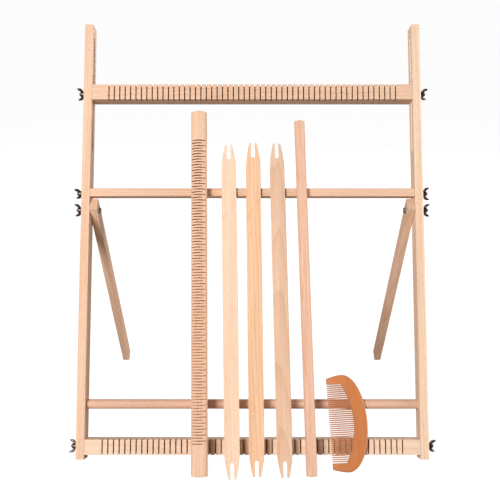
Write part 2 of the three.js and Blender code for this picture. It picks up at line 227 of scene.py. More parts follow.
def long_axis(node):
    """Unit vector along a CAD node's length, pointing up, from the way its faces point."""
    faces = frame["nodes"][node].data.polygons
    normals = np.array([face.normal for face in faces])
    areas = np.array([face.area for face in faces])
    directions = np.linalg.eigh((normals * areas[:, None]).T @ normals)[1].T
    longest = Vector(max(directions, key=lambda way: np.ptp(points_of(node) @ way)))
    return longest if longest.z > 0 else -longest


def seat(node, turn=None):
    """A CAD node's place, a matrix at its middle and turned with it, and its three lengths."""
    if turn is None:
        turn = turned_along(long_axis(node))
    spread = points_of(node) @ np.array(turn)
    low, high = spread.min(0), spread.max(0)
    middle = turn @ Vector((low + high) / 2)
    return Matrix.Translation(middle) @ turn.to_4x4(), Vector(high - low)


def middle_on(place, node):
    """Where a CAD node's middle is on a piece, measured from the piece's own middle."""
    return place.inverted() @ seat(node, LEANING)[0].translation


def faced(place, side):
    """The same place turned about the piece's length, so that its right side becomes its left."""
    return place @ Matrix.Rotation(math.pi, 4, "Z") if side == "left" else place


# ---- Modelling ----
ALONG = 0.99  # Cosine above which a face or an edge counts as lying along an axis.
DOUBLES = 1e-6
SOFTENED_ABOVE = math.radians(38)
SMOOTH_BELOW = math.radians(48)


def clear_selection():
    if bpy.context.mode != "OBJECT":
        bpy.ops.object.mode_set(mode="OBJECT")
    bpy.ops.object.select_all(action="DESELECT")


def activate(piece):
    clear_selection()
    piece.select_set(True)
    bpy.context.view_layer.objects.active = piece


def take_new(name):
    """Name the primitive that was just added and put its size and place into its mesh."""
    piece = bpy.context.object
    piece.name = name
    piece.data.name = name
    bpy.ops.object.transform_apply(location=True, rotation=True, scale=True)
    return piece


def add_block(name, size, centre=(0, 0, 0)):
    clear_selection()
    bpy.ops.mesh.primitive_cube_add(size=1, location=centre, scale=size)
    return take_new(name)


def add_round(name, radius, depth, centre=(0, 0, 0), along="Z", sides=48):
    """A cylinder along one of the axes."""
    turn = {"X": (0, math.pi / 2, 0), "Y": (math.pi / 2, 0, 0), "Z": (0, 0, 0)}[along]
    clear_selection()
    bpy.ops.mesh.primitive_cylinder_add(
        vertices=sides, radius=radius, depth=depth, location=centre, rotation=turn)
    return take_new(name)


def copy_of(piece, name):
    """A copy with its own mesh."""
    activate(piece)
    bpy.ops.object.duplicate(linked=False)
    twin = bpy.context.object
    twin.name = name
    twin.data.name = name
    return twin


@contextmanager
def editing(piece):
    activate(piece)
    bpy.ops.object.mode_set(mode="EDIT")
    bpy.ops.mesh.select_all(action="DESELECT")
    yield
    bpy.ops.object.mode_set(mode="OBJECT")


def pick(piece, kind, wanted):
    """In edit mode, select the vertices, edges or faces for which wanted(element) is true."""
    bpy.ops.mesh.select_mode(type=kind)
    bpy.ops.mesh.select_all(action="DESELECT")
    mesh = bmesh.from_edit_mesh(piece.data)
    elements = {"VERT": mesh.verts, "EDGE": mesh.edges, "FACE": mesh.faces}[kind]
    found = [element for element in elements if wanted(element)]
    if not found:
        raise RuntimeError(f"{piece.name} has nothing to select here")
    for element in found:
        element.select_set(True)
    mesh.select_flush_mode()
    bmesh.update_edit_mesh(piece.data)


def pick_all():
    bpy.ops.mesh.select_all(action="SELECT")


def extrude(way):
    """In edit mode, extrude the selected faces along a vector."""
    bpy.ops.mesh.extrude_region_move(TRANSFORM_OT_translate={"value": way})


def score(axis, level):
    """In edit mode, run edges round the piece where its X, Y or Z (0, 1 or 2) is at a level."""
    way = Vector([float(each == axis) for each in range(3)])
    pick_all()
    bpy.ops.mesh.bisect(plane_co=way * level, plane_no=way)


def runs_along(edge, axis):
    """True for an edge that runs along axis 0, 1 or 2."""
    run = edge.verts[1].co - edge.verts[0].co
    return abs(run[axis]) > ALONG * run.length


def apply_modifier(piece, kind, **settings):
    activate(piece)
    modifier = piece.modifiers.new(kind.lower(), kind)
    for name, value in settings.items():
        setattr(modifier, name, value)
    bpy.ops.object.modifier_apply(modifier=modifier.name)


def cut(piece, tool, operation="DIFFERENCE"):
    """Cut the tool out of the piece, or join or intersect them, and put the tool away."""
    apply_modifier(piece, "BOOLEAN", operation=operation, solver="EXACT", object=tool)
    bpy.data.objects.remove(tool)


def repeat(piece, count, step):
    apply_modifier(piece, "ARRAY", count=count, use_relative_offset=False,
                   use_constant_offset=True, constant_offset_displace=step)


def round_edges(piece, wanted, radius, segments=5):
    """Round the edges for which wanted(edge) is true."""
    with editing(piece):
        pick(piece, "EDGE", wanted)
        bpy.ops.mesh.bevel(offset=radius, segments=segments, affect="EDGES")


def soften(piece, width, segments=2):
    """Take the sharpness off every edge."""
    apply_modifier(piece, "BEVEL", width=width, segments=segments, limit_method="ANGLE",
                   angle_limit=SOFTENED_ABOVE, harden_normals=False)


def bore(piece, diameter, depth, centre, along="X", sides=24):
    cut(piece, add_round("drill", diameter / 2, depth, centre, along, sides))


def ringed(piece, ring, axis):
    """Make a solid disc a ring: its two flat faces are inset by ring and bridged to a hole."""
    with editing(piece):
        pick(piece, "FACE", lambda face: abs(face.normal[axis]) > ALONG)
        bpy.ops.mesh.inset(thickness=ring)
        bpy.ops.mesh.bridge_edge_loops()


def settle(piece):
    """Merge doubles, point the faces out, check that the piece is closed, and smooth it."""
    with editing(piece):
        pick_all()
        bpy.ops.mesh.remove_doubles(threshold=DOUBLES)
        bpy.ops.mesh.normals_make_consistent(inside=False)
        mesh = bmesh.from_edit_mesh(piece.data)
        open_edges = sum(1 for edge in mesh.edges if not edge.is_manifold)
    if open_edges:
        raise RuntimeError(f"{piece.name} has {open_edges} open edges")
    activate(piece)
    bpy.ops.object.shade_smooth_by_angle(angle=SMOOTH_BELOW)
    apply_modifier(piece, "WEIGHTED_NORMAL", keep_sharp=True, weight=80)


def put(piece, place, node, finish):
    """Move a finished piece to its place and let it stand for its CAD node."""
    piece.data.transform(place)
    piece.data.materials.clear()
    piece.data.materials.append(finish)
    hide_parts(node)
    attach(piece, frame["nodes"][node]["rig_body"])


# ---- Materials ----
class Bench:
    """Adds shader nodes to one tree and wires them."""

    def __init__(self, tree):
        self.tree = tree
        tree.nodes.clear()

    def add(self, kind, inputs=None, **settings):
        node = self.tree.nodes.new("ShaderNode" + kind)
        for name, value in settings.items():
            setattr(node, name, value)
        for key, value in (inputs or {}).items():
            if isinstance(value, bpy.types.NodeSocket):
                self.tree.links.new(value, node.inputs[key])
            else:
                node.inputs[key].default_value = value
        return node

    def math(self, operation, a, b=0.0, clamp=False):
        return self.add("Math", {0: a, 1: b}, operation=operation, use_clamp=clamp).outputs[0]

    def ramp(self, value, low, high, start=0.0, end=1.0):
        """value from low..high to start..end, held inside."""
        return self.add("MapRange", {"Value": value, "From Min": low, "From Max": high,
                                     "To Min": start, "To Max": end}).outputs[0]

    def mix(self, factor, a, b):
        """Colour a where factor is 0 and colour b where it is 1."""
        return self.add("Mix", {0: factor, 6: a, 7: b}, data_type="RGBA").outputs[2]

    def stretch(self, vector, scale):
        return self.add("VectorMath", {0: vector, 1: scale}, operation="MULTIPLY").outputs[0]

    def noise(self, vector, scale, detail=2.0, roughness=0.5):
        node = self.add("TexNoise", {"Vector": vector, "Scale": scale, "Detail": detail,
                                     "Roughness": roughness})
        return node.outputs["Fac"]


KINDS = {"colour": "NodeSocketColor", "number": "NodeSocketFloat", "vector": "NodeSocketVector"}


def shared_effect(name, inputs, outputs):
    """A node group with named inputs {name: (kind, default)} and outputs {name: kind}."""
    group = bpy.data.node_groups.new(name, "ShaderNodeTree")
    for label, (kind, value) in inputs.items():
        made = group.interface.new_socket(name=label, in_out="INPUT", socket_type=KINDS[kind])
        made.default_value = value
    for label, kind in outputs.items():
        group.interface.new_socket(name=label, in_out="OUTPUT", socket_type=KINDS[kind])
    bench = Bench(group)
    given = group.nodes.new("NodeGroupInput").outputs
    result = group.nodes.new("NodeGroupOutput").inputs
    return bench, given, result


def wood_figure():
    """Growth rings, fibres, short flecks and soft blotches of wood whose grain runs along Z."""
    bench, given, result = shared_effect("Wood Figure", {
        "Vector": ("vector", (0, 0, 0)),
        "Heart": ("vector", (0.05, 0.03, 0)),
        "Light": ("colour", (0.8, 0.55, 0.4, 1)),
        "Dark": ("colour", (0.6, 0.35, 0.2, 1)),
        "Fleck": ("colour", (0.3, 0.15, 0.08, 1)),
        "Ring Spacing": ("number", 0.003),
        "Ring Strength": ("number", 0.4),
        "Fleck Amount": ("number", 0.5),
        "Blotch": ("number", 0.3),
    }, {"Color": "colour", "Roughness": "number", "Height": "number"})
    drift = bench.add("TexNoise", {"Vector": bench.stretch(given["Vector"], (1, 1, 0.1)),
                                   "Scale": 34.0, "Detail": 2.0})
    centred = bench.add("VectorMath", {0: drift.outputs["Color"], 1: (0.5, 0.5, 0.5)},
                        operation="SUBTRACT").outputs[0]
    bent = bench.add("VectorMath", {0: centred, 1: (0.008, 0.008, 0.0), 2: given["Vector"]},
                     operation="MULTIPLY_ADD").outputs[0]
    from_heart = bench.add("VectorMath", {0: bent, 1: given["Heart"]},
                           operation="SUBTRACT").outputs[0]
    tapered = bench.add("VectorRotate", {"Vector": from_heart, "Angle": 0.035},
                        rotation_type="X_AXIS").outputs[0]
    across = bench.add("VectorMath", {0: bench.stretch(tapered, (1, 1, 0))},
                       operation="LENGTH").outputs["Value"]
    turns = bench.math("DIVIDE", across, given["Ring Spacing"])
    rise = bench.math("FRACT", turns)
    late = bench.math("POWER", rise, 3.0)
    ring = bench.math("MULTIPLY", late, bench.ramp(rise, 1.0, 0.93))
    fibres = bench.noise(bench.stretch(given["Vector"], (1, 1, 0.02)), 1500.0, 3.0, 0.6)
    streaks = bench.noise(bench.stretch(given["Vector"], (1, 1, 0.025)), 260.0, 2.0)
    dashes = bench.noise(bench.stretch(given["Vector"], (1, 1, 0.22)), 900.0, 1.0)
    flecks = bench.ramp(dashes, 0.61, 0.68)
    blotches = bench.noise(bench.stretch(given["Vector"], (1, 1, 0.45)), 130.0, 3.0, 0.62)
    tone = bench.noise(bench.stretch(given["Vector"], (1, 1, 0.3)), 11.0, 1.0)

    lines = bench.math("MULTIPLY", ring, given["Ring Strength"])
    body = bench.math("ADD", lines, bench.ramp(streaks, 0.35, 0.75, 0.0, 0.35))
    body = bench.math("ADD", body, bench.ramp(fibres, 0.3, 0.7, -0.12, 0.16))
    body = bench.math("ADD", body, bench.ramp(tone, 0.35, 0.65, -0.1, 0.22), clamp=True)
    wood = bench.mix(body, given["Light"], given["Dark"])
    spotted = bench.mix(bench.math("MULTIPLY", bench.ramp(blotches, 0.56, 0.72), given["Blotch"]),
                        wood, given["Dark"])
    speckled = bench.mix(bench.math("MULTIPLY", flecks, given["Fleck Amount"]),
                         spotted, given["Fleck"])
    bench.tree.links.new(speckled, result["Color"])
    bench.tree.links.new(bench.ramp(fibres, 0.3, 0.7, 0.50, 0.66), result["Roughness"])
    relief = bench.math("SUBTRACT", bench.ramp(fibres, 0.3, 0.7), flecks)
    bench.tree.links.new(relief, result["Height"])
    return bench.tree


def edges_with_painted_shade():
    """Edges given another tone, as handling wear and as painted light along the rims (lighter on
    bare wood, darker on the comb), and painted shade in narrow recesses.
    """
    bench, given, result = shared_effect("Worn Edges And Painted Shade", {
        "Color": ("colour", (0.8, 0.8, 0.8, 1)),
        "Edge Wear And Painted Light": ("colour", (0.95, 0.85, 0.75, 1)),
        "Painted Recess Shade": ("colour", (0.2, 0.1, 0.05, 1)),
        "Edge Width": ("number", 0.0008),
        "Edge Amount": ("number", 0.5),
        "Recess": ("number", 0.006),
        "Recess Amount": ("number", 0.7),
    }, {"Color": "colour", "Edge": "number"})
    soft = bench.add("Bevel", {"Radius": given["Edge Width"]}, samples=4).outputs[0]
    true = bench.add("NewGeometry").outputs["Normal"]
    turned = bench.add("VectorMath", {0: soft, 1: true}, operation="DOT_PRODUCT").outputs["Value"]
    edge = bench.ramp(turned, 0.985, 0.80)
    # Painted shade: ambient occlusion darkens the colour in narrow recesses, such as notches and
    # saw cuts, where shade falls.
    hidden = bench.add("AmbientOcclusion", {"Distance": given["Recess"]}, samples=6,
                       only_local=True).outputs["AO"]
    painted_recess_mask = bench.ramp(hidden, 0.85, 0.35)
    # Edges take another tone: handling wear together with painted light, a painted highlight on
    # bare wood and painted shade on the comb.
    edge_wear_and_painted_light = bench.mix(bench.math("MULTIPLY", edge, given["Edge Amount"]),
                       given["Color"], given["Edge Wear And Painted Light"])
    shaded = bench.mix(bench.math("MULTIPLY", painted_recess_mask, given["Recess Amount"]),
                       edge_wear_and_painted_light, given["Painted Recess Shade"])
    bench.tree.links.new(shaded, result["Color"])
    bench.tree.links.new(edge, result["Edge"])
    return bench.tree


# Both are filled by the operator that makes the finishes.
EFFECTS = {}
METALS = {}

GRAIN_TURNS = {"X": Matrix.Rotation(math.pi / 2, 4, "Y"), "Z": Matrix.Identity(4)}
WOODS = {
    "beech": {"colours": ("beech", "beech_dark"), "spacing": 0.0032, "rings": 0.45,
              "flecks": 0.22, "blotch": 0.12},
    "light": {"colours": ("light", "light_dark"), "spacing": 0.0042, "rings": 0.40,
              "flecks": 0.25, "blotch": 0.30},
    "honey": {"colours": ("honey", "honey_dark"), "spacing": 0.0042, "rings": 0.50,
              "flecks": 0.25, "blotch": 0.35},
    "pink": {"colours": ("pink", "pink_dark"), "spacing": 0.0027, "rings": 0.55,
             "flecks": 0.22, "blotch": 0.15},
    "comb": {"colours": ("comb", "comb_dark"), "spacing": 0.0090, "rings": 0.12,
             "flecks": 0.08, "blotch": 0.12},
}
BARE_WOOD = {"Specular IOR Level": 0.25}
LACQUER = {"Specular IOR Level": 0.5, "Coat Weight": 0.6, "Coat Roughness": 0.12}
# Width and depth of the painted shade along the comb's rounded rim.
COMB_RIM_SHADE_WIDTH = 1.2 * MM
EDGE_SHADE = 0.45
# Each piece is cut from the log at this distance from its heart, in a direction of its own.
HEART_DISTANCE = 0.055
GOLDEN_ANGLE = math.radians(137.5)


def opaque(linear):
    return (*linear, 1.0)


def timber(name, kind, place, grain="Z"):
    """A wood finish for one piece, with its grain along one of the piece's own axes."""
    finishes = bpy.context.scene.loom_finishes
    wood = WOODS[kind]
    light, dark = (opaque(getattr(finishes, label)) for label in wood["colours"])
    material = bpy.data.materials.new(name)
    material.use_nodes = True
    bench = Bench(material.node_tree)
    turned = place @ GRAIN_TURNS[grain]
    mapped = bench.add("Mapping", {
        "Vector": bench.add("TexCoord").outputs["Object"],
        "Location": turned.translation,
        "Rotation": turned.to_euler(),
    }, vector_type="TEXTURE").outputs[0]
    turn = len(bpy.data.materials) * GOLDEN_ANGLE
    heart = (HEART_DISTANCE * math.cos(turn), HEART_DISTANCE * math.sin(turn), 0)
    figure = bench.add("Group", node_tree=EFFECTS["figure"])
    for label, value in {
        "Heart": heart, "Light": light, "Dark": dark, "Fleck": opaque(finishes.fleck),
        "Ring Spacing": wood["spacing"], "Ring Strength": wood["rings"],
        "Fleck Amount": wood["flecks"], "Blotch": wood["blotch"],
    }.items():
        figure.inputs[label].default_value = value
    bench.tree.links.new(mapped, figure.inputs["Vector"])
    edges = bench.add("Group", {"Color": figure.outputs["Color"]}, node_tree=EFFECTS["edges"])
    if kind == "comb":
        # The comb's rounded rim is painted darker: painted shade along its edges.
        edges.inputs["Edge Wear And Painted Light"].default_value = opaque(EDGE_SHADE * tone for tone in dark[:3])
        edges.inputs["Edge Width"].default_value = COMB_RIM_SHADE_WIDTH
    else:
        # Bare wood's edges are painted lighter: handling wear together with a painted highlight
        # where the rounded rims catch light.
        edges.inputs["Edge Wear And Painted Light"].default_value = [(1 + tone) / 2 for tone in light]
    # Painted shade in the wood's notches and saw cuts.
    edges.inputs["Painted Recess Shade"].default_value = opaque(finishes.painted_recess_shade)
    bump = bench.add("Bump", {"Height": figure.outputs["Height"], "Strength": 0.25,
                              "Distance": 0.0002})
    shader = bench.add("BsdfPrincipled", {
        "Base Color": edges.outputs["Color"],
        "Roughness": figure.outputs["Roughness"],
        "Normal": bump.outputs[0],
        **(LACQUER if kind == "comb" else BARE_WOOD),
    })
    bench.add("OutputMaterial", {"Surface": shader.outputs[0]})
    return material


# Tones of plated steel, as shares of its tint: in its clouds, on its edges, and in its recesses,
# where the last is painted shade.
CLOUD, WORN, RECESS_SHADE_SHARE = 0.55, 1.5, 0.2


def plated_steel(name, tint, brightness):
    """Zinc-plated steel with a cloudy, slightly stained surface."""
    material = bpy.data.materials.new(name)
    material.use_nodes = True
    bench = Bench(material.node_tree)
    place = bench.add("TexCoord").outputs["Object"]
    clouds = bench.noise(place, 420.0, 4.0, 0.6)
    spots = bench.noise(place, 1700.0, 2.0)
    dark = opaque(tone * brightness * CLOUD for tone in tint)
    light = opaque(tone * brightness for tone in tint)
    cloudy = bench.mix(bench.ramp(clouds, 0.35, 0.65), dark, light)
    rough = bench.math("ADD", bench.ramp(clouds, 0.3, 0.7, 0.22, 0.40),
                       bench.ramp(spots, 0.5, 0.8, 0.0, 0.15))
    edges = bench.add("Group", {"Color": cloudy}, node_tree=EFFECTS["edges"])
    edges.inputs["Edge Wear And Painted Light"].default_value = opaque(min(1, WORN * tone) for tone in tint)
    # Painted shade in the steel's recesses.
    edges.inputs["Painted Recess Shade"].default_value = opaque(RECESS_SHADE_SHARE * tone for tone in tint)
    edges.inputs["Edge Width"].default_value = 0.4 * MM
    bump = bench.add("Bump", {"Height": spots, "Strength": 0.2, "Distance": 0.00005})
    shader = bench.add("BsdfPrincipled", {
        "Base Color": edges.outputs["Color"],
        "Roughness": rough,
        "Metallic": 1.0,
        "Normal": bump.outputs[0],
    })
    bench.add("OutputMaterial", {"Surface": shader.outputs[0]})
    return material


# ---- The leaning frame ----
# A slot's or slit's end is rounded by a little less than half its width, so that the
# two roundings do not meet.
SLOT_END, SLIT_END = 0.999, 0.99
NOTCHED_ARRIS = 0.7  # Softening of a notched beam, as a share of that on other sawn wood.


def make_uprights(sizes):
    """Both uprights, made as the right-hand one with its outer side towards +X."""
    place, size = seat("right_upright", LEANING)
    piece = add_block("upright", size)
    round_edges(piece, lambda edge: runs_along(edge, 2) and edge.verts[0].co.x > 0,
                sizes.upright_round, segments=6)
    through = size.x + 4 * sizes.arris
    for node in ("crossbar_bolt_right", "leg_bolt_right", "bottom_beam_bolt_right"):
        bore(piece, sizes.bolt_hole, through, (0, 0, middle_on(place, node).z))

    bottom = sizes.slot_bottom - size.z / 2
    top = size.z / 2 - sizes.slot_top
    slot = add_block("slot", (through, sizes.slot_width, top - bottom), (0, 0, (top + bottom) / 2))
    round_edges(slot, lambda edge: runs_along(edge, 0), sizes.slot_width / 2 * SLOT_END,
                segments=10)
    cut(piece, slot)

    rod_hole = seat("lower_rod", LEANING)[1].z + 2 * sizes.fit
    rod_height = middle_on(place, "lower_rod").z
    bore(piece, rod_hole, 2 * sizes.rod_seat, (-size.x / 2, 0, rod_height), sides=40)
    soften(piece, sizes.arris)
    settle(piece)
    for side, wood in zip(SIDES, ("beech", "light")):
        node = f"{side}_upright"
        home = seat(node, LEANING)[0]
        twin = copy_of(piece, f"upright_{side}")
        put(twin, faced(home, side), node, timber(f"Wood, upright {side}", wood, home))
    bpy.data.objects.remove(piece)


def make_notched_beam(name, node, wood, sizes):
    """A beam with warp notches across its front and a bolt hole in each end."""
    place, size = seat(node, LEANING)
    piece = add_block(name, size)
    count = math.floor((size.x - 2 * sizes.plain_end) / sizes.notch_pitch) + 1
    span = (count - 1) * sizes.notch_pitch
    depth = sizes.notch_depth
    saw = add_block("saw", (sizes.notch_width, 2 * depth, size.z + 2 * depth),
                    (-span / 2, -size.y / 2, 0))
    repeat(saw, count, (sizes.notch_pitch, 0, 0))
    cut(piece, saw)
    drill_ends(piece, size, node, place, sizes)
    soften(piece, sizes.arris * NOTCHED_ARRIS)
    settle(piece)
    put(piece, place, node, timber(f"Wood, {name}", wood, place, grain="X"))


def drill_ends(piece, size, node, place, sizes):
    """Holes that take the bolts' inner ends."""
    bolt = "crossbar_bolt_right" if node == "mid_crossbar" else f"{node}_bolt_right"
    bolt_middle = middle_on(place, bolt)
    inner_end = bolt_middle.x - seat(bolt, LEANING)[1].x / 2 - sizes.fit
    hole = 2 * (size.x / 2 - inner_end)
    for side in (-1, 1):
        centre = (side * size.x / 2, bolt_middle.y, bolt_middle.z)
        bore(piece, sizes.bolt_hole, hole, centre)


def make_crossbar(sizes):
    place, size = seat("mid_crossbar", LEANING)
    piece = add_block("crossbar", size)
    round_edges(piece, lambda edge: runs_along(edge, 0), sizes.bar_round)
    drill_ends(piece, size, "mid_crossbar", place, sizes)
    soften(piece, sizes.arris)
    settle(piece)
    put(piece, place, "mid_crossbar", timber("Beech, crossbar", "beech", place, grain="X"))


def make_rod(sizes):
    """The turned rod below the crossbar."""
    place, size = seat("lower_rod", LEANING)
    piece = add_round("rod", size.z / 2, size.x, along="X")
    round_ends(piece, 0, 2 * sizes.arris)
    settle(piece)
    put(piece, place, "lower_rod", timber("Pink beech, rod", "pink", place, grain="X"))


def round_ends(piece, axis, radius):
    """Round the rims of a cylinder's two ends."""
    round_edges(piece, lambda edge: not runs_along(edge, axis), radius, segments=4)


def make_legs(sizes):
    place, size = seat("right_leg")
    piece = add_block("leg", size)
    round_edges(piece, lambda edge: runs_along(edge, 2), sizes.leg_round)
    pivot = middle_on(place, "leg_bolt_right")
    bore(piece, sizes.bolt_hole, 2 * size.x, (0, pivot.y, pivot.z))
    soften(piece, sizes.arris)
    settle(piece)
    for side in SIDES:
        node = f"{side}_leg"
        home = seat(node)[0]
        twin = copy_of(piece, f"leg_{side}")
        put(twin, home, node, timber(f"Beech, leg {side}", "beech", home))
    bpy.data.objects.remove(piece)


# ---- Bolts, washers and wing nuts, each made along Z with its outer end up ----
OUTWARD = Matrix.Rotation(math.pi / 2, 4, "Y")
FIXINGS = ("top_beam", "crossbar", "leg", "bottom_beam")
THREAD_RUN_IN = 1.25  # The turns that are cut away where the thread begins.
SPARE_TURNS = 3
BOLT_POINT = 0.84  # Width of a bolt's end, as a share of its thread's width.
HEAD_DOME = 0.8  # Rounding of a leg bolt's head, as a share of its height.
BOSS_RIM = 0.9  # A boss is rounded above this share of its height.
BOSS_ROUND = 0.5 * MM
WING_ROOT = Vector((1.2 * MM, 0, 2.5 * MM))  # Inwards of the boss's side, and up from its foot.
WING_ROOT_BREADTH = 3.6 * MM
# Of an ear's middle: share of the reach, share of the nut's height, and breadth there.
WING_STATIONS = ((0.52, 0.36, 5.6 * MM), (0.66, 0.52, 7.0 * MM), (0.80, 0.67, 7.6 * MM),
                 (0.91, 0.76, 6.2 * MM))


def threaded_rod(name, sizes, diameter, depth):
    """A rod with a real thread at its upper end and a plain stretch below it."""
    pitch = sizes.thread_pitch
    radius = diameter / 2
    root = radius - sizes.thread_depth
    clear_selection()
    bpy.ops.mesh.primitive_circle_add(
        vertices=4, radius=1, location=(root, 0, 0), rotation=(math.pi / 2, 0, 0))
    bpy.context.object.scale = (sizes.thread_depth, pitch / 2, 1)
    piece = take_new(name)
    with editing(piece):
        pick(piece, "VERT", lambda vertex: vertex.co.x < root - sizes.thread_depth / 2)
        bpy.ops.mesh.delete(type="VERT")
    turns = math.ceil(sizes.threaded / pitch) + SPARE_TURNS
    apply_modifier(piece, "SCREW", axis="Z", screw_offset=pitch, iterations=turns, steps=20,
                   render_steps=20, use_merge_vertices=True, merge_threshold=1e-5)
    with editing(piece):
        pick_all()
        bpy.ops.mesh.remove_doubles(threshold=DOUBLES)
        lower = THREAD_RUN_IN * pitch
        upper = lower + sizes.threaded
        for level, side in ((lower, "clear_inner"), (upper, "clear_outer")):
            pick_all()
            bpy.ops.mesh.bisect(plane_co=(0, 0, level), plane_no=(0, 0, 1), use_fill=True,
                                **{side: True})
        # The two caps have far more corners than the faces of the thread.
        pick(piece, "FACE", lambda face: face.normal.z < -ALONG and len(face.verts) > 8)
        extrude((0, 0, sizes.threaded - depth))
        pick(piece, "FACE", lambda face: face.normal.z > ALONG and len(face.verts) > 8)
        extrude((0, 0, pitch / 2))
        bpy.ops.transform.resize(value=(BOLT_POINT, BOLT_POINT, 1))
        pick_all()
        bpy.ops.transform.translate(value=(0, 0, depth / 2 - upper - pitch / 2))
    return piece


def make_studs(sizes):
    """The headless bolts in the ends of both beams and of the crossbar."""
    for fixing in ("top_beam", "crossbar", "bottom_beam"):
        size = seat(f"{fixing}_bolt_right", LEANING)[1]
        piece = threaded_rod("stud", sizes, size.z, size.x - sizes.thread_pitch / 2)
        settle(piece)
        set_out(piece, fixing, "bolt", METALS["zinc"])


def make_leg_bolts(sizes):
    """The bolts that the legs turn on, with a domed head and a hexagon in it."""
    bolt = seat("leg_bolt_right", LEANING)[1]
    frame_sizes = bpy.context.scene.loom_frame_sizes
    shank = frame_sizes.bolt_hole - 2 * frame_sizes.fit
    piece = threaded_rod("leg bolt", sizes, shank, bolt.x - sizes.head_height)
    raise_by(piece, sizes.head_height / 2)
    head_middle = sizes.head_height / 2 - bolt.x / 2
    head = add_round("head", bolt.z / 2, sizes.head_height, (0, 0, head_middle), sides=40)
    round_edges(head, lambda edge: all(v.co.z < head_middle for v in edge.verts),
                sizes.head_height * HEAD_DOME, segments=7)
    across_corners = sizes.socket_across / math.cos(math.radians(30))
    bore(head, across_corners, 2 * sizes.socket_depth, (0, 0, -bolt.x / 2), along="Z", sides=6)
    cut(piece, head, "UNION")
    settle(piece)
    set_out(piece, "leg", "bolt", METALS["zinc"])


def raise_by(piece, distance):
    with editing(piece):
        pick_all()
        bpy.ops.transform.translate(value=(0, 0, distance))


def make_washers():
    washer = seat("leg_washer_right", LEANING)[1]
    hole = bpy.context.scene.loom_frame_sizes.bolt_hole
    piece = add_round("washer", washer.z / 2, washer.x, sides=48)
    ringed(piece, (washer.z - hole) / 2, 2)
    soften(piece, washer.x / 6)
    settle(piece)
    for fixing in FIXINGS:
        set_out(copy_of(piece, "washer"), fixing, "washer", METALS["zinc"])
    bpy.data.objects.remove(piece)


def make_wing(sizes, height, reach):
    """One ear of a wing nut, reaching out along +X and up from the boss."""
    low = -height / 2
    root = Vector((sizes.boss_top / 2 - WING_ROOT.x, 0, low + WING_ROOT.z))
    wing = add_block("wing", (WING_ROOT.x, sizes.wing_thickness, WING_ROOT_BREADTH), root)
    with editing(wing):
        pick(wing, "FACE", lambda face: face.normal.x > ALONG)
        before, breadth = root + Vector((WING_ROOT.x / 2, 0, 0)), WING_ROOT_BREADTH
        for out, lift, wanted in WING_STATIONS:
            target = Vector((out * reach, 0, low + lift * height))
            extrude(target - before)
            bpy.ops.transform.resize(value=(1, 1, wanted / breadth), center_override=target)
            before, breadth = target, wanted
    apply_modifier(wing, "SUBSURF", levels=2, render_levels=2)
    return wing


def make_wing_nuts(sizes):
    """One wing nut, copied to each fixing and turned as its CAD node is."""
    node = "leg_wing_nut_right"
    nut = seat(node, wing_turn(node))[1]
    low = -nut.x / 2
    boss = add_round("wing nut", sizes.boss_base / 2, sizes.boss_height,
                     (0, 0, low + sizes.boss_height / 2), sides=40)
    with editing(boss):
        pick(boss, "FACE", lambda face: face.normal.z > ALONG)
        narrower = sizes.boss_top / sizes.boss_base
        bpy.ops.transform.resize(value=(narrower, narrower, 1))
    rim = low + BOSS_RIM * sizes.boss_height
    round_edges(boss, lambda edge: all(v.co.z > rim for v in edge.verts), BOSS_ROUND, segments=3)
    for turn in (0, math.pi):
        wing = make_wing(sizes, nut.x, nut.z / 2)
        wing.data.transform(Matrix.Rotation(turn, 4, "Z"))
        cut(boss, wing, "UNION")
    hole = bpy.context.scene.loom_frame_sizes.bolt_hole
    bore(boss, hole, 4 * sizes.boss_height, (0, 0, low), along="Z", sides=32)
    settle(boss)
    for fixing in FIXINGS:
        for side in SIDES:
            node = f"{fixing}_wing_nut_{side}"
            home = seat(node, wing_turn(node))[0]
            piece = copy_of(boss, f"wing_nut_{fixing}_{side}")
            put(piece, faced(home, side) @ OUTWARD, node, METALS["dark zinc"])
    bpy.data.objects.remove(boss)


def wing_turn(node):
    """Rotation of a wing nut about its bolt, with Z along the wings."""
    spread = points_of(node) - points_of(node).mean(0)
    ways = np.linalg.eigh(spread[:, 1:].T @ spread[:, 1:])[1]
    y, z = ways[:, 1]
    return turned_along(Vector((0, y, z)) if z > 0 else Vector((0, -y, -z)))


def set_out(piece, fixing, part, finish):
    """Put a copy of a fixing's part on each side of the loom and take the first one away."""
    for side in SIDES:
        node = f"{fixing}_{part}_{side}"
        home = seat(node, LEANING)[0]
        twin = copy_of(piece, f"{part}_{fixing}_{side}")
        put(twin, faced(home, side) @ OUTWARD, node, finish)
    bpy.data.objects.remove(piece)


# ---- Pieces that stand against the loom ----
HEDDLE_ARRIS = 0.18 * MM
SHUTTLE_ARRIS = 0.7 * MM
COMB_ARRIS = 0.13 * MM
NEAR = 0.01 * MM  # Two points this close are taken to be at the same level.
# Where a shuttle's taper is shaped, as shares of its length from the tip, and how it curves.
TAPER_SHARES = (1.0, 0.78, 0.56, 0.34, 0.15)
TAPER_CURVE = 1.7
# Rounding of the comb's rim as a share of its thickness, and the curve of its two ends.
COMB_RIM = 0.36
COMB_END_CURVE = 1.6
COMB_END_STEPS = 4
COMB_STATIONS = (0.98, 0.75, 0.5, 0.25)
GAP_FLARE = 1.2  # Width of a gap at the tooth tips, as a share of its width at the roots.


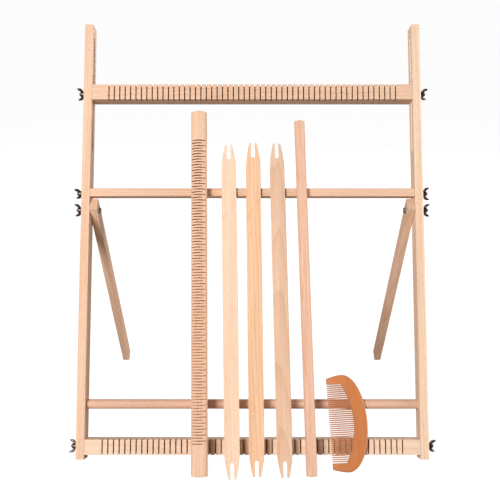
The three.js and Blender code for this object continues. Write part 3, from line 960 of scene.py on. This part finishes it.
def make_heddle_bar(sizes):
    """A round bar with two sets of notches, turned to either side of the front."""
    place, size = seat("heddle_bar")
    radius = size.x / 2
    piece = add_round("notched_bar", radius, size.z, sides=72)
    round_ends(piece, 2, sizes.heddle_round)
    count = math.floor((size.z - 2 * sizes.heddle_plain) / sizes.heddle_pitch) + 1
    first = -(count - 1) * sizes.heddle_pitch / 2
    for start, turn in ((0, -sizes.heddle_first), (1, sizes.heddle_second)):
        saw = add_block("saw", (size.x, 2 * sizes.heddle_depth, sizes.heddle_width),
                        (0, -radius, first + start * sizes.heddle_pitch))
        repeat(saw, math.ceil((count - start) / 2), (0, 0, 2 * sizes.heddle_pitch))
        saw.data.transform(Matrix.Rotation(turn, 4, "Z"))
        cut(piece, saw)
    soften(piece, HEDDLE_ARRIS)
    settle(piece)
    put(piece, place, "heddle_bar", timber("Beech, heddle bar", "beech", place))


def make_shuttles(sizes):
    """A flat stick with a forked, tapering end at top and bottom, copied three times."""
    size = seat("shuttle_middle")[1]
    piece = add_block("shuttle", size)
    taper = sizes.shuttle_taper
    half = size.z / 2
    stations = [taper * share for share in TAPER_SHARES]
    with editing(piece):
        for end in (-1, 1):
            for station in stations:
                score(2, end * (half - station))
        full, tip = size.x, sizes.shuttle_tip
        for station in (*stations[1:], 0):
            narrowing = (1 - station / taper) ** TAPER_CURVE
            width = full - (full - tip) * narrowing
            pick(piece, "VERT", lambda v: abs(abs(v.co.z) - (half - station)) < NEAR)
            bpy.ops.transform.resize(value=(width / full, 1, 1), center_override=(0, 0, 0))
    for end in (-1, 1):
        slit = add_block("slit", (sizes.fork_width, 2 * size.y, 2 * sizes.fork_depth),
                         (0, 0, end * half))
        round_edges(slit, lambda edge: runs_along(edge, 1) and edge.verts[0].co.z * end < half,
                    sizes.fork_width / 2 * SLIT_END, segments=8)
        cut(piece, slit)
    soften(piece, SHUTTLE_ARRIS, segments=3)
    settle(piece)
    for name, wood in (("left", "light"), ("middle", "honey"), ("right", "beech")):
        node = f"shuttle_{name}"
        home = seat(node)[0]
        put(copy_of(piece, f"stick_shuttle_{name}"), home, node,
            timber(f"{wood} wood, shuttle {name}", wood, home))
    bpy.data.objects.remove(piece)


def make_shed_stick(sizes):
    place, size = seat("shed_stick")
    piece = add_round("shed_stick_round", size.x / 2, size.z, sides=56)
    round_ends(piece, 2, sizes.shed_round)
    settle(piece)
    put(piece, place, "shed_stick", timber("Pink beech, shed stick", "pink", place))


def make_comb(sizes):
    """A comb with a half-round back, thinner towards its teeth, which point to the left."""
    place, size = seat("comb")
    tips = -size.x / 2
    piece = comb_outline(sizes, size, tips)
    thickness = size.y
    with editing(piece):
        pick_all()
        bpy.ops.mesh.edge_face_add()
        bpy.ops.transform.translate(value=(0, thickness / 2, 0))
        extrude((0, -thickness, 0))
        pick_all()
        bpy.ops.mesh.normals_make_consistent(inside=False)

    def on_rim(edge):
        return not runs_along(edge, 1) and max(v.co.x for v in edge.verts) > tips + MM

    round_edges(piece, on_rim, thickness * COMB_RIM, segments=6)
    with editing(piece):
        for share in COMB_STATIONS:
            score(0, tips + share * sizes.comb_back)
        thin_towards(piece, tips, sizes.comb_back, sizes.comb_tip / thickness)
    cut(piece, comb_gaps(sizes, size, tips))
    soften(piece, COMB_ARRIS)
    settle(piece)
    put(piece, place, "comb", timber("Comb wood", "comb", place))


def comb_outline(sizes, size, tips):
    """Half an ellipse for the back, run on at both ends to the line of the tooth tips."""
    half, back_start = size.z / 2, tips + sizes.comb_back
    clear_selection()
    bpy.ops.mesh.primitive_circle_add(vertices=112, radius=1, location=(back_start, 0, 0),
                                      rotation=(math.pi / 2, 0, 0))
    bpy.context.object.scale = (size.x - sizes.comb_back, half, 1)
    piece = take_new("weaving_comb")
    taper = half - sizes.comb_end / 2
    with editing(piece):
        pick(piece, "VERT", lambda vertex: vertex.co.x < back_start - NEAR)
        bpy.ops.mesh.delete(type="VERT")
        pick(piece, "VERT", lambda vertex: vertex.co.x < back_start + NEAR)
        before = half
        for step in range(1, COMB_END_STEPS + 1):
            reach = half - taper * (step / COMB_END_STEPS) ** COMB_END_CURVE
            bpy.ops.mesh.extrude_vertices_move(
                TRANSFORM_OT_translate={"value": (-sizes.comb_back / COMB_END_STEPS, 0, 0)})
            bpy.ops.transform.resize(value=(1, 1, reach / before), center_override=(0, 0, 0))
            before = reach
    return piece


def thin_towards(piece, tips, reach, share):
    """Thin the comb from its back to share of its thickness at the tooth tips."""
    for vertex in bmesh.from_edit_mesh(piece.data).verts:
        along = min(max((vertex.co.x - tips) / reach, 0), 1)
        vertex.co.y *= share + (1 - share) * math.sin(along * math.pi / 2)
    bmesh.update_edit_mesh(piece.data)


def comb_gaps(sizes, size, tips):
    """The gaps between the teeth: one cut, flared at the tips, repeated and ended on an arc."""
    guard = sizes.comb_end / 2 - sizes.comb_guard
    pitch = 2 * guard / (sizes.comb_teeth + 1)
    gap = pitch - sizes.comb_tooth
    first = -guard + pitch / 2
    through = 2 * size.y
    saw = add_block("saw", (sizes.comb_root + 2 * MM, through, gap),
                    (tips + sizes.comb_root / 2 - MM, 0, first))
    with editing(saw):
        score(0, tips + sizes.comb_flare)
        pick(saw, "FACE", lambda face: face.normal.x < -ALONG)
        bpy.ops.transform.resize(value=(1, 1, GAP_FLARE), center_override=(0, 0, first))
    repeat(saw, sizes.comb_teeth + 1, (0, 0, pitch))
    radius = (guard ** 2 + sizes.comb_rise ** 2) / (2 * sizes.comb_rise)
    centre = (tips + sizes.comb_root - radius, 0, 0)
    arc = add_round("root arc", radius, 2 * through, centre, along="Y", sides=280)
    cut(saw, arc, "INTERSECT")
    return saw


# ---- Floor, lights and camera ----
WHITE = (1.0, 1.0, 1.0, 1.0)
FLOOR_RADIUS = 30
SENSOR_WIDTH = 36
AIM = Vector((0, 0, 0.28))
# Name, azimuth from the front towards the right, elevation, distance, width and power.
LAMPS = (
    ("key", -27, 24, 2.3, 0.75, 54),
    ("left side", -92, 10, 2.0, 1.0, 9),
    ("right side", 82, 8, 2.0, 1.0, 36),
    ("back", 170, 14, 2.4, 1.4, 22),
)


def make_floor(studio):
    """A wide pale floor that fades into the same pale surroundings."""
    clear_selection()
    bpy.ops.mesh.primitive_circle_add(vertices=96, radius=FLOOR_RADIUS, fill_type="NGON")
    floor = take_new("floor")
    material = bpy.data.materials.new("Paper floor")
    material.use_nodes = True
    bench = Bench(material.node_tree)
    paper = bench.add("BsdfDiffuse", {"Color": opaque(studio.paper)})
    faint = bench.add("BsdfDiffuse", {"Color": opaque(studio.faint)})
    glow = bench.add("Emission", {"Color": WHITE, "Strength": studio.floor_glow})
    seen = bench.add("LightPath").outputs["Is Camera Ray"]
    lit = bench.add("AddShader", {0: faint.outputs[0], 1: glow.outputs[0]})
    both = bench.add("MixShader", {0: seen, 1: paper.outputs[0], 2: lit.outputs[0]})
    bench.add("OutputMaterial", {"Surface": both.outputs[0]})
    floor.data.materials.append(material)


def make_surroundings(studio):
    """Dim light from all round, which the camera sees as a pale backdrop."""
    world = bpy.data.worlds.new("Studio")
    bpy.context.scene.world = world
    world.use_nodes = True
    bench = Bench(world.node_tree)
    dim = bench.add("Background", {"Color": opaque(studio.air), "Strength": studio.air_light})
    pale = bench.add("Background", {"Color": WHITE, "Strength": studio.backdrop})
    seen = bench.add("LightPath").outputs["Is Camera Ray"]
    both = bench.add("MixShader", {0: seen, 1: dim.outputs[0], 2: pale.outputs[0]})
    bench.add("OutputWorld", {"Surface": both.outputs[0]})


def add_lamp(name, azimuth, elevation, distance, width, power):
    """A square soft box aimed at the loom."""
    side, up = math.radians(azimuth), math.radians(elevation)
    way = Vector((math.sin(side) * math.cos(up), -math.cos(side) * math.cos(up), math.sin(up)))
    clear_selection()
    bpy.ops.object.light_add(type="AREA", location=AIM + way * distance,
                             rotation=way.to_track_quat("Z", "Y").to_euler())
    lamp = bpy.context.object
    lamp.name = name
    lamp.data.shape = "SQUARE"
    lamp.data.size = width
    lamp.data.energy = power


def make_camera(studio):
    clear_selection()
    bpy.ops.object.camera_add(location=studio.eye, rotation=(math.pi / 2 - studio.pitch, 0, 0))
    camera = bpy.context.object
    camera.data.sensor_width = SENSOR_WIDTH
    camera.data.lens = studio.lens
    camera.data.shift_y = studio.shift
    bpy.context.scene.camera = camera
    bpy.context.scene.view_settings.view_transform = "Standard"


# ---- Operators ----
# Darkens the wing nuts' zinc: painted shade in place of dark reflections.
WING_NUT_BRIGHTNESS = 0.5  # As a share of the tint.


class LOOM_OT_finishes(Operator):
    """Make the shared wood and edge effects and the plated steels"""

    bl_idname = "loom.finishes"
    bl_label = "Finishes"

    def execute(self, context):
        finishes = context.scene.loom_finishes
        EFFECTS["figure"] = wood_figure()
        EFFECTS["edges"] = edges_with_painted_shade()
        METALS["zinc"] = plated_steel("Zinc plate", finishes.zinc, 1.0)
        METALS["dark zinc"] = plated_steel("Dark zinc plate", finishes.dark_zinc,
                                           WING_NUT_BRIGHTNESS)
        return {"FINISHED"}


class LOOM_OT_uprights(Operator):
    """Make the two slotted uprights"""

    bl_idname = "loom.uprights"
    bl_label = "Uprights"

    def execute(self, context):
        make_uprights(context.scene.loom_frame_sizes)
        return {"FINISHED"}


class LOOM_OT_beams(Operator):
    """Make the top and bottom beams with their warp notches"""

    bl_idname = "loom.beams"
    bl_label = "Notched Beams"

    def execute(self, context):
        sizes = context.scene.loom_frame_sizes
        make_notched_beam("beam_top", "top_beam", "beech", sizes)
        make_notched_beam("beam_bottom", "bottom_beam", "light", sizes)
        return {"FINISHED"}


class LOOM_OT_crossbar(Operator):
    """Make the crossbar and the rod below it"""

    bl_idname = "loom.crossbar"
    bl_label = "Crossbar and Rod"

    def execute(self, context):
        make_crossbar(context.scene.loom_frame_sizes)
        make_rod(context.scene.loom_frame_sizes)
        return {"FINISHED"}


class LOOM_OT_legs(Operator):
    """Make the two folding legs"""

    bl_idname = "loom.legs"
    bl_label = "Legs"

    def execute(self, context):
        make_legs(context.scene.loom_frame_sizes)
        return {"FINISHED"}


class LOOM_OT_bolts(Operator):
    """Make the threaded bolts and their washers"""

    bl_idname = "loom.bolts"
    bl_label = "Bolts and Washers"

    def execute(self, context):
        sizes = context.scene.loom_fixing_sizes
        make_studs(sizes)
        make_leg_bolts(sizes)
        make_washers()
        return {"FINISHED"}


class LOOM_OT_wing_nuts(Operator):
    """Make the eight wing nuts"""

    bl_idname = "loom.wing_nuts"
    bl_label = "Wing Nuts"

    def execute(self, context):
        make_wing_nuts(context.scene.loom_fixing_sizes)
        return {"FINISHED"}


class LOOM_OT_heddle_bar(Operator):
    """Make the notched heddle bar"""

    bl_idname = "loom.heddle_bar"
    bl_label = "Heddle Bar"

    def execute(self, context):
        make_heddle_bar(context.scene.loom_tool_sizes)
        return {"FINISHED"}


class LOOM_OT_shuttles(Operator):
    """Make the three stick shuttles"""

    bl_idname = "loom.shuttles"
    bl_label = "Stick Shuttles"

    def execute(self, context):
        make_shuttles(context.scene.loom_tool_sizes)
        return {"FINISHED"}


class LOOM_OT_shed_stick(Operator):
    """Make the round shed stick"""

    bl_idname = "loom.shed_stick"
    bl_label = "Shed Stick"

    def execute(self, context):
        make_shed_stick(context.scene.loom_tool_sizes)
        return {"FINISHED"}


class LOOM_OT_comb(Operator):
    """Make the weaving comb"""

    bl_idname = "loom.comb"
    bl_label = "Comb"

    def execute(self, context):
        make_comb(context.scene.loom_tool_sizes)
        return {"FINISHED"}


class LOOM_OT_stage(Operator):
    """Make the pale floor, the soft lights and the camera"""

    bl_idname = "loom.stage"
    bl_label = "Stage"

    def execute(self, context):
        studio = context.scene.loom_studio
        make_floor(studio)
        make_surroundings(studio)
        for lamp in LAMPS:
            add_lamp(*lamp)
        make_camera(studio)
        return {"FINISHED"}


BUILD_ORDER = (
    LOOM_OT_finishes, LOOM_OT_uprights, LOOM_OT_beams, LOOM_OT_crossbar, LOOM_OT_legs,
    LOOM_OT_bolts, LOOM_OT_wing_nuts, LOOM_OT_heddle_bar, LOOM_OT_shuttles,
    LOOM_OT_shed_stick, LOOM_OT_comb, LOOM_OT_stage,
)


class LOOM_PT_sidebar(Panel):
    """The loom's sizes, finishes and making steps"""

    bl_idname = "LOOM_PT_sidebar"
    bl_label = "Table Loom"
    bl_space_type = "VIEW_3D"
    bl_region_type = "UI"
    bl_category = "Loom"

    def draw(self, context):
        column = self.layout.column()
        for operator in BUILD_ORDER:
            column.operator(operator.bl_idname)
        for name in SETTINGS:
            group = getattr(context.scene, name)
            box = self.layout.box()
            for label in group.__annotations__:
                box.prop(group, label)


SETTINGS = {
    "loom_frame_sizes": LoomFrameSizes,
    "loom_fixing_sizes": LoomFixingSizes,
    "loom_tool_sizes": LoomToolSizes,
    "loom_finishes": LoomFinishes,
    "loom_studio": LoomStudio,
}
CLASSES = (*SETTINGS.values(), *BUILD_ORDER, LOOM_PT_sidebar)


def register():
    for made in CLASSES:
        bpy.utils.register_class(made)
    for name, group in SETTINGS.items():
        setattr(bpy.types.Scene, name, PointerProperty(type=group))


def unregister():
    for name in SETTINGS:
        delattr(bpy.types.Scene, name)
    for made in reversed(CLASSES):
        bpy.utils.unregister_class(made)


def main():
    register()
    for operator in BUILD_ORDER:
        family, name = operator.bl_idname.split(".")
        getattr(getattr(bpy.ops, family), name)()


if __name__ == "__main__":
    main()
